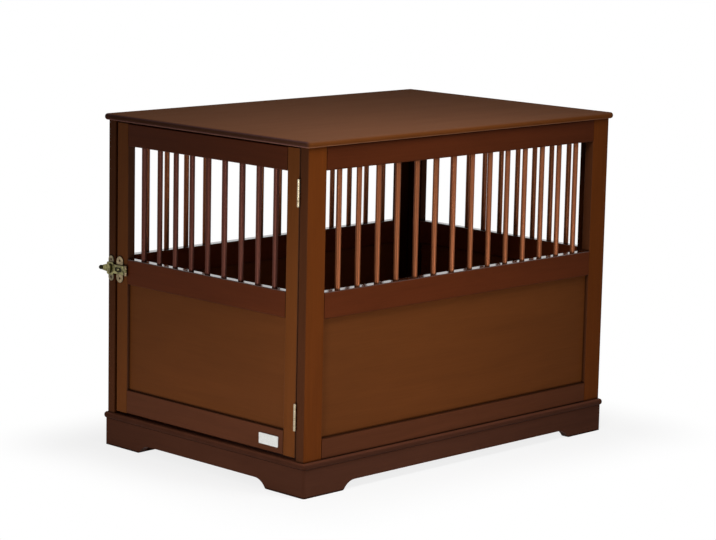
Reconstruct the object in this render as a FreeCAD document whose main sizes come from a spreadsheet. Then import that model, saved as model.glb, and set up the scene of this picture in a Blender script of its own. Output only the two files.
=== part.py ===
import FreeCAD, Part
import Sketcher
import math
import os

# Wooden pet crate that doubles as a side table. Millimetres, +Z up, origin on the floor under the
# middle of the crate. The short -Y end is the front and holds the door, hinged at its +X edge.
# Four frames of stiles and rails hold dowels above and a recessed panel below. They stand on a floor
# board over a plinth with bracket feet, and carry the table top.

SIZES = {
    # carcass, measured over the outer faces of the frames
    "body_width": 540,
    "body_length": 824,
    "frame_height": 564,
    # plinth boards and their bracket feet
    "plinth_height": 52,
    "plinth_thickness": 15,
    "plinth_overhang_side": 5,
    "plinth_overhang_end": 2,
    "foot_length": 97,
    "foot_curve_radius": 6,
    "arch_curve_radius": 32,
    "arch_height": 16.5,
    "plinth_corner_radius": 5,
    "foot_block_depth": 46,
    # floor board and table top, with rounded corners and bullnose edges
    "base_thickness": 12,
    "base_overhang_side": 8.5,
    "base_overhang_end": 5.5,
    "top_thickness": 12,
    "top_overhang_side": 7,
    "top_overhang_end": 8,
    "board_corner_share": 0.6,
    "board_nose_share": 0.46,
    # frames: members shared by the sides and the back
    "top_rail_height": 43,
    "window_height": 217.5,
    "mid_rail_height": 48,
    "bottom_rail_height": 38,
    "edge_radius": 2,
    "side_thickness": 20,
    "side_stile_width": 46,
    "side_dowel_count": 14,
    "back_thickness": 18,
    "back_stile_width": 35,
    "back_dowel_count": 9,
    # door and the gaps round it
    "door_thickness": 18,
    "door_setback": 1.5,
    "door_side_gap": 3.5,
    "door_bottom_gap": 6,
    "door_top_gap": 3,
    "door_stile_width": 31,
    "door_top_rail_height": 42.5,
    "door_window_height": 215,
    "door_bottom_rail_height": 45,
    "door_dowel_count": 9,
    "door_stop_gap": 1,
    "door_stop_width": 18,
    "door_stop_height": 20,
    # joinery
    "dowel_diameter": 10,
    "dowel_seat": 12,
    "dowel_play": 0.15,
    "dowel_end_share": 0.82,
    "panel_thickness": 6,
    "groove_depth": 7,
    "panel_play": 0.15,
    "tenon_thickness": 8,
    "tenon_length": 12,
    "tenon_shoulder": 10,
    "joint_play": 0.15,
    # pins and screws that hold the frames to the two boards
    "side_fixing_count": 3,
    "back_fixing_count": 2,
    "fixing_spacing_share": 0.4,
    "pin_radius": 4,
    "pin_top_seat": 7,
    "pin_frame_seat": 20,
    "base_screw_length": 32,
    "base_screw_radius": 2.2,
    "base_screw_head_radius": 4.4,
    "base_screw_head_height": 2.6,
    "screw_play": 0.1,
    # butt hinges
    "hinge_length": 48,
    "hinge_upper_drop": 78,
    "hinge_lower_rise": 75,
    "hinge_barrel_radius": 2.8,
    "hinge_barrel_sink": 1.3,
    "hinge_pin_radius": 1.4,
    "hinge_cap_radius": 2.5,
    "hinge_cap_height": 0.8,
    "hinge_leaf_thickness": 1.2,
    "hinge_leaf_width": 17,
    "hinge_screw_offset": 10,
    "hinge_screw_spacing": 26,
    "hinge_knuckle_count": 5,
    "knuckle_gap": 0.3,
    "knuckle_clearance": 0.4,
    "running_play": 0.05,
    # small countersunk screws of the hinges and the hasp
    "small_screw_length": 13,
    "small_screw_radius": 1.3,
    "small_screw_head_radius": 2.5,
    # hasp: door plate, strap and pin
    "latch_above_mid_rail": 2,
    "hasp_plate_width": 18.5,
    "hasp_plate_height": 50,
    "hasp_plate_thickness": 2,
    "hasp_plate_inset": 1,
    "hasp_screw_spacing": 34,
    "hasp_reach": 19,
    "hasp_barrel_radius": 2.8,
    "hasp_barrel_length": 18,
    "hasp_pin_radius": 1.3,
    "hasp_cap_radius": 2.4,
    "hasp_cap_height": 0.8,
    "hasp_face_clearance": 0.3,
    "strap_thickness": 1.8,
    "strap_neck_height": 17,
    "strap_head_height": 24,
    "strap_head_width": 19,
    "strap_corner_radius": 3,
    "strap_slot_width": 10,
    "strap_slot_height": 18,
    "strap_dish_length": 20,
    "strap_dish_height": 9,
    "strap_dish_depth": 0.9,
    "strap_rivet_radius": 3,
    "strap_rivet_height": 1.2,
    "strap_rivet_top_share": 0.6,
    "lip_length": 12.5,
    "lip_angle": 28,
    "lip_height": 15,
    "lip_tip_height": 7,
    "lip_ball_radius": 4.3,
    # staple on the left post: plate and turn knob
    "staple_plate_width": 15,
    "staple_plate_height": 48,
    "staple_plate_thickness": 2,
    "staple_screw_spacing": 34,
    "knob_neck_radius": 2.2,
    "knob_head_width": 8,
    "knob_head_height": 16,
    "knob_head_thickness": 3.5,
    "knob_head_clearance": 0.6,
    "knob_collar_radius": 3.8,
    "knob_collar_thickness": 1.4,
    "knob_collar_play": 0.3,
    # how far a cutting shape passes the face that it starts from
    "overrun": 1,
}

doc = FreeCAD.newDocument("pet_crate")
sheet = doc.addObject("Spreadsheet::Sheet", "size")
for line, (title, number) in enumerate(SIZES.items(), start=1):
    sheet.set(f"A{line}", title)
    sheet.set(f"B{line}", str(number))
    sheet.setAlias(f"B{line}", title)
doc.recompute()

# Places that several pieces share, as expressions on the sheet.
BASE_TOP = "(size.plinth_height + size.base_thickness)"
FRAME_TOP = f"({BASE_TOP} + size.frame_height)"
FRONT = "(-size.body_length / 2)"
CLEAR_WIDTH = "(size.body_width - 2 * size.side_thickness)"
DOOR_WIDTH = f"({CLEAR_WIDTH} - 2 * size.door_side_gap)"
DOOR_HEIGHT = "(size.frame_height - size.door_bottom_gap - size.door_top_gap)"
DOOR_FACE = f"({FRONT} + size.door_setback)"
DOOR_BOTTOM = f"({BASE_TOP} + size.door_bottom_gap)"
PLINTH_WIDTH = "(size.body_width + 2 * size.plinth_overhang_side)"
PLINTH_LENGTH = "(size.body_length + 2 * size.plinth_overhang_end)"

DIRECTIONS = {
    "+x": FreeCAD.Rotation(FreeCAD.Vector(0, 1, 0), 90),
    "-x": FreeCAD.Rotation(FreeCAD.Vector(0, 1, 0), -90),
    "+y": FreeCAD.Rotation(FreeCAD.Vector(1, 0, 0), -90),
    "-y": FreeCAD.Rotation(FreeCAD.Vector(1, 0, 0), 90),
    "+z": FreeCAD.Rotation(),
}

nodes = []


def bind(thing, bindings):
    """Bind properties of a document object to expressions on the sheet."""
    for path, expression in bindings.items():
        thing.setExpression(path, expression)


def place(thing, x="0", y="0", z="0", turn=0):
    """Stand an object at a point, turned about the vertical."""
    thing.Placement = FreeCAD.Placement(FreeCAD.Vector(), FreeCAD.Rotation(FreeCAD.Vector(0, 0, 1), turn))
    bind(thing, {"Placement.Base.x": x, "Placement.Base.y": y, "Placement.Base.z": z})


def piece(label):
    """Start a piece of the crate: a body that is written out under its label."""
    body = doc.addObject("PartDesign::Body", label)
    body.Label = label
    nodes.append(body)
    return body


def datum(body, role):
    """Find one of a body's own origin planes or axes."""
    return next(feature for feature in body.Origin.OriginFeatures if feature.Role == role)


def primitive(body, shape, name, sizes, at, rotation, cut):
    """Add a primitive to a body, or cut it away, at a place in the body's own frame."""
    feature = body.newObject(f"PartDesign::{'Subtractive' if cut else 'Additive'}{shape}", name)
    feature.AttachmentSupport = datum(body, "XY_Plane")
    feature.MapMode = "FlatFace"
    feature.AttachmentOffset = FreeCAD.Placement(FreeCAD.Vector(), rotation)
    bind(feature, sizes)
    bind(feature, {f"AttachmentOffset.Base.{axis}": where for axis, where in zip("xyz", at)})
    return feature


def block(body, name, lengths, at, cut=False, turn=0):
    """A box from its low corner, turned about the vertical through that corner."""
    sizes = dict(zip(("Length", "Width", "Height"), lengths))
    return primitive(body, "Box", name, sizes, at, FreeCAD.Rotation(FreeCAD.Vector(0, 0, 1), turn), cut)


def rod(body, name, radius, length, at, direction="+z", cut=False):
    """A round rod from the middle of its near end."""
    sizes = {"Radius": radius, "Height": length}
    return primitive(body, "Cylinder", name, sizes, at, DIRECTIONS[direction], cut)


def cone(body, name, radius, far_radius, length, at, direction="+z", cut=False):
    """A cone from the middle of its near end."""
    sizes = {"Radius1": radius, "Radius2": far_radius, "Height": length}
    return primitive(body, "Cone", name, sizes, at, DIRECTIONS[direction], cut)


def ball(body, name, radius, at):
    """A ball round its centre, with its seam turned to the -X side."""
    half_turn = FreeCAD.Rotation(FreeCAD.Vector(0, 0, 1), 180)
    return primitive(body, "Sphere", name, {"Radius": radius}, at, half_turn, False)


def obround(body, name, width, length, depth, at, along="z", cut=False):
    """A slot shape with round ends, from its centre on a face, going towards -Y."""
    x, y, z = at
    half, straight = f"({width} / 2)", f"({length} - {width})"
    if along == "z":
        lengths, low = (width, depth, straight), (f"{x} - {half}", f"{y} - {depth}", f"{z} - {straight} / 2")
    else:
        lengths, low = (straight, depth, width), (f"{x} - {straight} / 2", f"{y} - {depth}", f"{z} - {half}")
    block(body, f"{name}_web", lengths, low, cut)
    for end, sign in (("low", "-"), ("high", "+")):
        shift = f"{sign} {straight} / 2"
        centre = (x, y, f"{z} {shift}") if along == "z" else (f"{x} {shift}", y, z)
        rod(body, f"{name}_{end}_end", half, depth, centre, "-y", cut)


def row(body, name, features, axis, count, pitch):
    """Repeat features of a body along one of its axes."""
    pattern = body.newObject("PartDesign::LinearPattern", name)
    pattern.Originals = features
    pattern.Direction = (datum(body, axis), [""])
    bind(pattern, {"Length": f"({count} - 1) * {pitch}", "Occurrences": count})
    body.Tip = pattern
    return pattern


def ease(body, name, radius, pick):
    """Round the edges of a body that a test of their boxes picks."""
    doc.recompute()
    base = body.Tip
    edges = [f"Edge{index}" for index, edge in enumerate(base.Shape.Edges, start=1) if pick(edge.BoundBox)]
    fillet = body.newObject("PartDesign::Fillet", name)
    fillet.Base = (base, edges)
    fillet.setExpression("Radius", radius)


def runs_along_x(box):
    return box.XLength > box.YLength + box.ZLength


def runs_along_y(box):
    return box.YLength > box.XLength + box.ZLength


def runs_along_z(box):
    return box.ZLength > box.XLength + box.YLength


def runs_level(box):
    return box.ZLength < min(size_of("top_thickness"), size_of("base_thickness")) / 2


def size_of(title):
    """The number in a cell of the sheet."""
    return float(sheet.get(title))


def countersunk_screw(body, name, head, shank, head_height, length, at, direction):
    """A screw from the middle of its flat head: a cone that narrows to a plain shank."""
    top = cone(body, f"{name}_head", head, shank, head_height, at, direction)
    stem = rod(body, f"{name}_shank", shank, length, at, direction)
    return [top, stem]


def countersunk_hole(body, name, head, shank, head_height, depth, at, direction):
    """The hole for such a screw, wider all round by the screw's play."""
    sink = cone(body, f"{name}_sink", f"{head} + size.screw_play", f"{shank} + size.screw_play",
                head_height, at, direction, cut=True)
    bore = rod(body, f"{name}_bore", f"{shank} + size.screw_play", depth, at, direction, cut=True)
    return [sink, bore]


# Frames. Each lies in its own frame: x along it from its middle, y inwards from its outer face, z up
# from its bottom edge.

def frame_spec(width, height, thickness, stile, top, window, bottom, count):
    """The sizes of one frame as expressions, with the places that follow from them."""
    spec = {"width": width, "height": height, "thickness": thickness, "stile": stile, "count": count}
    spec["opening"] = f"({width} - 2 * {stile})"
    spec["window"] = window
    spec["window_bottom"] = f"({height} - {top} - {window})"
    spec["panel_top"] = f"({spec['window_bottom']} - size.mid_rail_height)"
    spec["panel_bottom"] = bottom
    spec["pitch"] = f"({spec['opening']} / ({count} - 1 + 2 * size.dowel_end_share))"
    spec["fixing_pitch"] = f"({spec['opening']} * size.fixing_spacing_share)"
    spec["rails"] = {
        "top_rail": (f"({height} - {top})", top),
        "mid_rail": (spec["panel_top"], "size.mid_rail_height"),
        "bottom_rail": ("0", bottom),
    }
    return spec


SIDE = frame_spec("size.body_length", "size.frame_height", "size.side_thickness", "size.side_stile_width",
                  "size.top_rail_height", "size.window_height", "size.bottom_rail_height",
                  "size.side_dowel_count")
BACK = frame_spec(CLEAR_WIDTH, "size.frame_height", "size.back_thickness", "size.back_stile_width",
                  "size.top_rail_height", "size.window_height", "size.bottom_rail_height",
                  "size.back_dowel_count")
DOOR = frame_spec(DOOR_WIDTH, DOOR_HEIGHT, "size.door_thickness", "size.door_stile_width",
                  "size.door_top_rail_height", "size.door_window_height", "size.door_bottom_rail_height",
                  "size.door_dowel_count")

GROOVE_WIDTH = "(size.panel_thickness + 2 * size.panel_play)"
PANEL_SEAT = "(size.groove_depth - size.panel_play)"


def stile(label, spec, side):
    """An upright member, with mortises for three rails and a groove for the panel."""
    body = piece(label)
    width, inner_edge = spec["stile"], f"{spec['opening']} / 2"
    start = inner_edge if side == "+" else f"-{inner_edge} - {width}"
    block(body, "stock", (width, spec["thickness"], spec["height"]), (start, "0", "0"))
    ease(body, "eased_edges", "size.edge_radius", runs_along_z)

    def slot(name, depth, wide, tall, bottom):
        """Cut a slot into the inner edge, in the middle of the thickness."""
        reach = f"({depth} + size.overrun)"
        x = f"{inner_edge} - size.overrun" if side == "+" else f"-{inner_edge} - {depth}"
        block(body, name, (reach, wide, tall), (x, f"({spec['thickness']} - {wide}) / 2", bottom), cut=True)

    for rail_name, (bottom, tall) in spec["rails"].items():
        slot(f"{rail_name}_mortise", "(size.tenon_length + size.joint_play)",
             "(size.tenon_thickness + 2 * size.joint_play)",
             f"({tall} - 2 * size.tenon_shoulder + 2 * size.joint_play)",
             f"{bottom} + size.tenon_shoulder - size.joint_play")
    slot("panel_groove", "size.groove_depth", GROOVE_WIDTH,
         f"({spec['panel_top']} - {spec['panel_bottom']} + 2 * size.groove_depth)",
         f"{spec['panel_bottom']} - size.groove_depth")
    return body


def rail(label, spec, rail_name):
    """A level member with a tenon at each end, a groove for the panel and holes for the dowels."""
    body = piece(label)
    bottom, tall = spec["rails"][rail_name]
    top = f"{bottom} + {tall}"
    opening, middle = spec["opening"], f"{spec['thickness']} / 2"
    block(body, "stock", (opening, spec["thickness"], tall), (f"-{opening} / 2", "0", bottom))
    ease(body, "eased_edges", "size.edge_radius", runs_along_x)
    tongue = f"({opening} + 2 * size.tenon_length)"
    block(body, "tenons", (tongue, "size.tenon_thickness", f"({tall} - 2 * size.tenon_shoulder)"),
          (f"-{tongue} / 2", f"{middle} - size.tenon_thickness / 2", f"{bottom} + size.tenon_shoulder"))
    if rail_name != "top_rail":
        floor = f"{top} - size.groove_depth" if rail_name == "bottom_rail" else f"{bottom} - size.overrun"
        trench = (f"({opening} + 2 * size.overrun)", GROOVE_WIDTH, "(size.groove_depth + size.overrun)")
        block(body, "panel_groove", trench,
              (f"-{opening} / 2 - size.overrun", f"{middle} - {GROOVE_WIDTH} / 2", floor), cut=True)
    if rail_name != "bottom_rail":
        floor = f"{bottom} - size.overrun" if rail_name == "top_rail" else f"{top} - size.dowel_seat"
        first = (f"-({spec['count']} - 1) * {spec['pitch']} / 2", middle, floor)
        hole = rod(body, "dowel_hole", "size.dowel_diameter / 2 + size.dowel_play",
                   "size.dowel_seat + size.overrun", first, cut=True)
        row(body, "dowel_holes", [hole], "X_Axis", spec["count"], spec["pitch"])
    return body


def fixing_start(spec, count):
    return f"-({count} - 1) * {spec['fixing_pitch']} / 2"


def pin_holes(body, spec, count):
    """Holes in the top of a top rail for the pins of the table top."""
    first = (fixing_start(spec, count), f"{spec['thickness']} / 2", f"{spec['height']} - size.pin_frame_seat")
    hole = rod(body, "pin_hole", "size.pin_radius + size.dowel_play", "size.pin_frame_seat + size.overrun",
               first, cut=True)
    row(body, "pin_holes", [hole], "X_Axis", count, spec["fixing_pitch"])


def pilot_holes(body, spec, count):
    """Holes in the underside of a bottom rail for the screws of the floor board."""
    first = (fixing_start(spec, count), f"{spec['thickness']} / 2", "-size.overrun")
    hole = rod(body, "pilot_hole", "size.base_screw_radius + size.screw_play",
               "size.base_screw_length - size.base_thickness + size.screw_play + size.overrun",
               first, cut=True)
    row(body, "pilot_holes", [hole], "X_Axis", count, spec["fixing_pitch"])


def panel_frame(prefix, spec, stile_labels, x, y, z, turn, fixings=None):
    """All pieces of one frame, stood in its place. Gives its two stiles back for their hardware."""
    low_stile = stile(stile_labels[0], spec, "-")
    high_stile = stile(stile_labels[1], spec, "+")
    rails = [rail(f"{prefix}_{rail_name}", spec, rail_name) for rail_name in spec["rails"]]
    if fixings:
        pin_holes(rails[0], spec, fixings)
        pilot_holes(rails[2], spec, fixings)
    panel = piece(f"{prefix}_panel")
    wide = f"({spec['opening']} + 2 * {PANEL_SEAT})"
    tall = f"({spec['panel_top']} - {spec['panel_bottom']} + 2 * {PANEL_SEAT})"
    block(panel, "sheet", (wide, "size.panel_thickness", tall),
          (f"-{wide} / 2", f"({spec['thickness']} - size.panel_thickness) / 2",
           f"{spec['panel_bottom']} - {PANEL_SEAT}"))
    dowels = piece(f"{prefix}_dowels")
    first = (f"-({spec['count']} - 1) * {spec['pitch']} / 2", f"{spec['thickness']} / 2",
             f"{spec['window_bottom']} - size.dowel_seat")
    bar = rod(dowels, "dowel", "size.dowel_diameter / 2",
              f"{spec['window']} + 2 * size.dowel_seat - size.joint_play", first)
    row(dowels, "dowel_row", [bar], "X_Axis", spec["count"], spec["pitch"])
    for body in (low_stile, high_stile, *rails, panel, dowels):
        place(body, x, y, z, turn)
    return low_stile, high_stile


# Boards: the table top and the floor board, each a plate with round corners and a bullnose all round.

def nosed_board(label, width, length, thickness):
    body = piece(label)
    block(body, "plate", (width, length, thickness), (f"-{width} / 2", f"-{length} / 2", "0"))
    ease(body, "round_corners", f"{thickness} * size.board_corner_share", runs_along_z)
    ease(body, "bullnose", f"{thickness} * size.board_nose_share", runs_level)
    return body


# Rows of fixings in the crate's own frame: two long sides and the back.
FIXINGS = {
    "right": ("Y_Axis", "size.side_fixing_count", SIDE, f"({CLEAR_WIDTH} + size.side_thickness) / 2"),
    "left": ("Y_Axis", "size.side_fixing_count", SIDE, f"-({CLEAR_WIDTH} + size.side_thickness) / 2"),
    "back": ("X_Axis", "size.back_fixing_count", BACK, "(size.body_length - size.back_thickness) / 2"),
}


def fixing_rows(body, z, make):
    """Make the same features at every fixing of a board: the first of each row, then the row."""
    for name, (axis, count, spec, line) in FIXINGS.items():
        first = fixing_start(spec, count)
        at = (line, first, z) if axis == "Y_Axis" else (first, line, z)
        row(body, f"{name}_row", make(name, at), axis, count, spec["fixing_pitch"])


table_top = nosed_board("table_top", "(size.body_width + 2 * size.top_overhang_side)",
                        "(size.body_length + 2 * size.top_overhang_end)", "size.top_thickness")
fixing_rows(table_top, "-size.overrun", lambda name, at: [
    rod(table_top, f"{name}_pin_hole", "size.pin_radius + size.dowel_play",
        "size.pin_top_seat + size.joint_play + size.overrun", at, cut=True)])
place(table_top, z=FRAME_TOP)

base_board = nosed_board("base_board", "(size.body_width + 2 * size.base_overhang_side)",
                         "(size.body_length + 2 * size.base_overhang_end)", "size.base_thickness")
fixing_rows(base_board, "0", lambda name, at: countersunk_hole(
    base_board, f"{name}_hole", "size.base_screw_head_radius", "size.base_screw_radius",
    "size.base_screw_head_height", "size.base_thickness + size.overrun", at, "+z"))
place(base_board, z="size.plinth_height")

top_pins = piece("top_pins")
fixing_rows(top_pins, "-size.pin_frame_seat", lambda name, at: [
    rod(top_pins, f"{name}_pin", "size.pin_radius", "size.pin_frame_seat + size.pin_top_seat", at)])
place(top_pins, z=FRAME_TOP)

base_screws = piece("base_screws")
fixing_rows(base_screws, "0", lambda name, at: countersunk_screw(
    base_screws, f"{name}_screw", "size.base_screw_head_radius", "size.base_screw_radius",
    "size.base_screw_head_height", "size.base_screw_length", at, "+z"))
place(base_screws, z="size.plinth_height")


# Plinth. Each board's foot turns up into the arch by two arcs: one round the foot, one into the arch.

def plinth_outline(body, span, overhang):
    """Sketch of a plinth board seen from outside, symmetric about its middle."""
    sketch = body.newObject("Sketcher::SketchObject", "outline")
    sketch.AttachmentSupport = datum(body, "XZ_Plane")
    sketch.MapMode = "FlatFace"
    foot, arch = size_of("foot_length"), size_of("arch_height")
    low_radius, high_radius = size_of("foot_curve_radius"), size_of("arch_curve_radius")
    height = size_of("plinth_height")
    both = low_radius + high_radius
    rise = math.acos(1 - arch / both)
    half = size_of(span) / 2 + size_of(overhang)
    quarter = math.pi / 2
    foot_end = -half + foot
    arch_start = foot_end + both * math.sin(rise)

    def point(x, y):
        return FreeCAD.Vector(x, y, 0)

    def line(x1, y1, x2, y2):
        return sketch.addGeometry(Part.LineSegment(point(x1, y1), point(x2, y2)))

    def arc(x, y, radius, start, end):
        circle = Part.Circle(point(x, y), FreeCAD.Vector(0, 0, 1), radius)
        return sketch.addGeometry(Part.ArcOfCircle(circle, start, end))

    left_foot = line(-half, 0, foot_end, 0)
    left_toe = arc(foot_end, low_radius, low_radius, -quarter, rise - quarter)
    left_rise = arc(arch_start, arch - high_radius, high_radius, quarter, quarter + rise)
    arch_line = line(arch_start, arch, -arch_start, arch)
    right_rise = arc(-arch_start, arch - high_radius, high_radius, quarter - rise, quarter)
    right_toe = arc(-foot_end, low_radius, low_radius, 3 * quarter - rise, 3 * quarter)
    right_foot = line(-foot_end, 0, half, 0)
    right_end = line(half, 0, half, height)
    top_edge = line(half, height, -half, height)
    left_end = line(-half, height, -half, 0)
    start, end = 1, 2
    for first, first_point, second, second_point in (
            (left_foot, end, left_toe, start), (left_toe, end, left_rise, end),
            (left_rise, start, arch_line, start), (arch_line, end, right_rise, end),
            (right_rise, start, right_toe, start), (right_toe, end, right_foot, start)):
        sketch.addConstraint(Sketcher.Constraint("Tangent", first, first_point, second, second_point))
    for first, second in ((right_foot, right_end), (right_end, top_edge), (top_edge, left_end),
                          (left_end, left_foot)):
        sketch.addConstraint(Sketcher.Constraint("Coincident", first, end, second, start))
    for level in (left_foot, arch_line, right_foot, top_edge):
        sketch.addConstraint(Sketcher.Constraint("Horizontal", level))
    for upright in (right_end, left_end):
        sketch.addConstraint(Sketcher.Constraint("Vertical", upright))
    for first, second in ((left_toe, right_toe), (left_rise, right_rise), (left_foot, right_foot)):
        sketch.addConstraint(Sketcher.Constraint("Equal", first, second))
    x_axis, y_axis = -1, -2
    sketch.addConstraint(Sketcher.Constraint("PointOnObject", left_foot, start, x_axis))
    sketch.addConstraint(Sketcher.Constraint("Symmetric", left_foot, start, right_foot, end, y_axis))

    def driven(title, expression, *constraint):
        index = sketch.addConstraint(Sketcher.Constraint(*constraint))
        sketch.renameConstraint(index, title)
        sketch.setExpression(f"Constraints.{title}", expression)

    driven("foot", "size.foot_length", "DistanceX", left_foot, start, left_foot, end, foot)
    driven("height", "size.plinth_height", "DistanceY", right_end, start, right_end, end, height)
    driven("arch", "size.arch_height", "DistanceY", left_foot, end, arch_line, start, arch)
    driven("toe", "size.foot_curve_radius", "Radius", left_toe, low_radius)
    driven("rise", "size.arch_curve_radius", "Radius", left_rise, high_radius)
    whole = f"size.{span} + 2 * size.{overhang}"
    driven("length", whole, "DistanceX", top_edge, end, top_edge, start, 2 * half)
    return sketch


def plinth_board(label, span, overhang, x, y, turn):
    """A plinth board, mitred at both ends to meet its neighbours."""
    body = piece(label)
    length = f"(size.{span} + 2 * size.{overhang})"
    sketch = plinth_outline(body, span, overhang)
    pad = body.newObject("PartDesign::Pad", "board")
    pad.Profile = sketch
    pad.Reversed = True
    pad.setExpression("Length", "size.plinth_thickness")
    board_middle = size_of("plinth_thickness") / 2
    ease(body, "round_corners", "size.plinth_corner_radius",
         lambda box: runs_along_z(box) and box.Center.y < board_middle)
    slant = "(sqrt(2) * (size.plinth_thickness + 2 * size.overrun))"
    deep = "(size.plinth_thickness + size.overrun)"
    tall = "(size.plinth_height + 2 * size.overrun)"
    block(body, "left_mitre", (slant, deep, tall),
          (f"-{length} / 2 - size.overrun", "-size.overrun", "-size.overrun"), cut=True, turn=45)
    block(body, "right_mitre", (deep, slant, tall),
          (f"{length} / 2 + size.overrun", "-size.overrun", "-size.overrun"), cut=True, turn=45)
    place(body, x, y, turn=turn)


END_BOARD = ("body_width", "plinth_overhang_side")
SIDE_BOARD = ("body_length", "plinth_overhang_end")
plinth_board("plinth_front", *END_BOARD, "0", f"-{PLINTH_LENGTH} / 2", 0)
plinth_board("plinth_back", *END_BOARD, "0", f"{PLINTH_LENGTH} / 2", 180)
plinth_board("plinth_right", *SIDE_BOARD, f"{PLINTH_WIDTH} / 2", "0", 90)
plinth_board("plinth_left", *SIDE_BOARD, f"-{PLINTH_WIDTH} / 2", "0", -90)

# Blocks in the plinth's corners, glued behind the feet of the front and back boards and standing with them.
BLOCK_LENGTH = "(size.foot_length - size.plinth_thickness)"
INNER_X = f"({PLINTH_WIDTH} / 2 - size.plinth_thickness)"
INNER_Y = f"({PLINTH_LENGTH} / 2 - size.plinth_thickness)"
corner_blocks = []
for x in (f"-{INNER_X}", f"{INNER_X} - {BLOCK_LENGTH}"):
    for y in (f"-{INNER_Y}", f"{INNER_Y} - size.foot_block_depth"):
        foot_block = doc.addObject("Part::Box", "foot_block")
        foot_block.setExpression("Length", BLOCK_LENGTH)
        foot_block.setExpression("Width", "size.foot_block_depth")
        foot_block.setExpression("Height", "size.plinth_height")
        place(foot_block, x, y)
        corner_blocks.append(foot_block)
plinth_corner_blocks = doc.addObject("Part::Compound", "plinth_corner_blocks")
plinth_corner_blocks.Links = corner_blocks
nodes.append(plinth_corner_blocks)

# The four frames. The left one is the right one turned about the crate's middle.
right_front_stile, right_back_stile = panel_frame(
    "right", SIDE, ("right_front_stile", "right_back_stile"),
    "size.body_width / 2", "0", BASE_TOP, 90, "size.side_fixing_count")
left_back_stile, left_front_stile = panel_frame(
    "left", SIDE, ("left_back_stile", "left_front_stile"),
    "-size.body_width / 2", "0", BASE_TOP, -90, "size.side_fixing_count")
panel_frame("back", BACK, ("back_right_stile", "back_left_stile"),
            "0", "size.body_length / 2", BASE_TOP, 180, "size.back_fixing_count")
door_latch_stile, door_hinge_stile = panel_frame(
    "door", DOOR, ("door_latch_stile", "door_hinge_stile"), "0", DOOR_FACE, DOOR_BOTTOM, 0)

# Strip under the table top that ties the side frames together and stops the door.
door_stop_rail = piece("door_stop_rail")
block(door_stop_rail, "strip", (CLEAR_WIDTH, "size.door_stop_width", "size.door_stop_height"),
      (f"-{CLEAR_WIDTH} / 2", "0", "-size.door_stop_height"))
place(door_stop_rail, y=f"{DOOR_FACE} + size.door_thickness + size.door_stop_gap", z=FRAME_TOP)

# Butt hinges. The leaves lie in the gap between door and post, and only the barrel stands out in front.
# Each hinge is drawn from its axis at the lower end of the barrel.
HINGE_X = f"({CLEAR_WIDTH} / 2 - size.door_side_gap / 2)"
HINGE_Y = f"({FRONT} - size.hinge_barrel_radius + size.hinge_barrel_sink)"
HALF_GAP = "(size.door_side_gap / 2)"
KNUCKLE = "(size.hinge_length / size.hinge_knuckle_count)"
SMALL_SCREW = ("size.small_screw_head_radius", "size.small_screw_radius")
HINGE_SCREW_Z = "(size.hinge_length - size.hinge_screw_spacing) / 2"


def hinge_leaf(label, side, first_knuckle):
    """A leaf with every second knuckle, bored for the pin and countersunk for two screws."""
    body = piece(label)
    low_x = f"{HALF_GAP} - size.hinge_leaf_thickness" if side == "+" else f"-{HALF_GAP}"
    face = f"{side}({HALF_GAP} - size.hinge_leaf_thickness)"
    block(body, "plate", ("size.hinge_leaf_thickness", "size.hinge_leaf_width", "size.hinge_length"),
          (low_x, "0", "0"))
    rod(body, "barrel_room", "size.hinge_barrel_radius + size.knuckle_clearance",
        "size.hinge_length + 2 * size.overrun", ("0", "0", "-size.overrun"), cut=True)
    for index in range(first_knuckle, int(size_of("hinge_knuckle_count")), 2):
        bottom = f"{index} * {KNUCKLE} + size.knuckle_gap / 2"
        tall = f"({KNUCKLE} - size.knuckle_gap)"
        rod(body, f"knuckle_{index}", "size.hinge_barrel_radius", tall, ("0", "0", bottom))
        root = ("size.hinge_leaf_thickness",
                "size.hinge_barrel_radius + size.knuckle_clearance + size.hinge_leaf_thickness", tall)
        block(body, f"root_{index}", root, (low_x, "0", bottom))
    rod(body, "pin_bore", "size.hinge_pin_radius + size.running_play",
        "size.hinge_length + 2 * size.overrun", ("0", "0", "-size.overrun"), cut=True)
    hole = countersunk_hole(body, "screw", *SMALL_SCREW, "size.hinge_leaf_thickness",
                            "size.hinge_leaf_thickness + size.overrun",
                            (face, "size.hinge_screw_offset", HINGE_SCREW_Z), f"{side}x")
    row(body, "screw_holes", hole, "Z_Axis", "2", "size.hinge_screw_spacing")
    return body


def hinge_screws(label, side):
    """The two screws of a leaf, heads flush with the leaf."""
    body = piece(label)
    at = (f"{side}({HALF_GAP} - size.hinge_leaf_thickness)", "size.hinge_screw_offset", HINGE_SCREW_Z)
    screw = countersunk_screw(body, "screw", *SMALL_SCREW, "size.hinge_leaf_thickness",
                              "size.small_screw_length", at, f"{side}x")
    row(body, "screw_pair", screw, "Z_Axis", "2", "size.hinge_screw_spacing")
    return body


def capped_pin(label, radius, length, cap_radius, cap_height):
    """A hinge pin along z with a flat cap at each end, drawn from the lower end of its barrel."""
    body = piece(label)
    rod(body, "pin", radius, length, ("0", "0", "0"))
    rod(body, "lower_cap", cap_radius, cap_height, ("0", "0", f"-{cap_height}"))
    rod(body, "upper_cap", cap_radius, cap_height, ("0", "0", length))
    return body


def small_screw_holes(body, name, at, direction, depth, spacing):
    """Two pilot holes in a stile, one above the other, that go a depth into its face."""
    reach = f"({depth} + size.screw_play + size.overrun)"
    hole = rod(body, name, "size.small_screw_radius + size.screw_play", reach, at, direction, cut=True)
    row(body, f"{name}_pair", [hole], "Z_Axis", "2", spacing)


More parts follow.
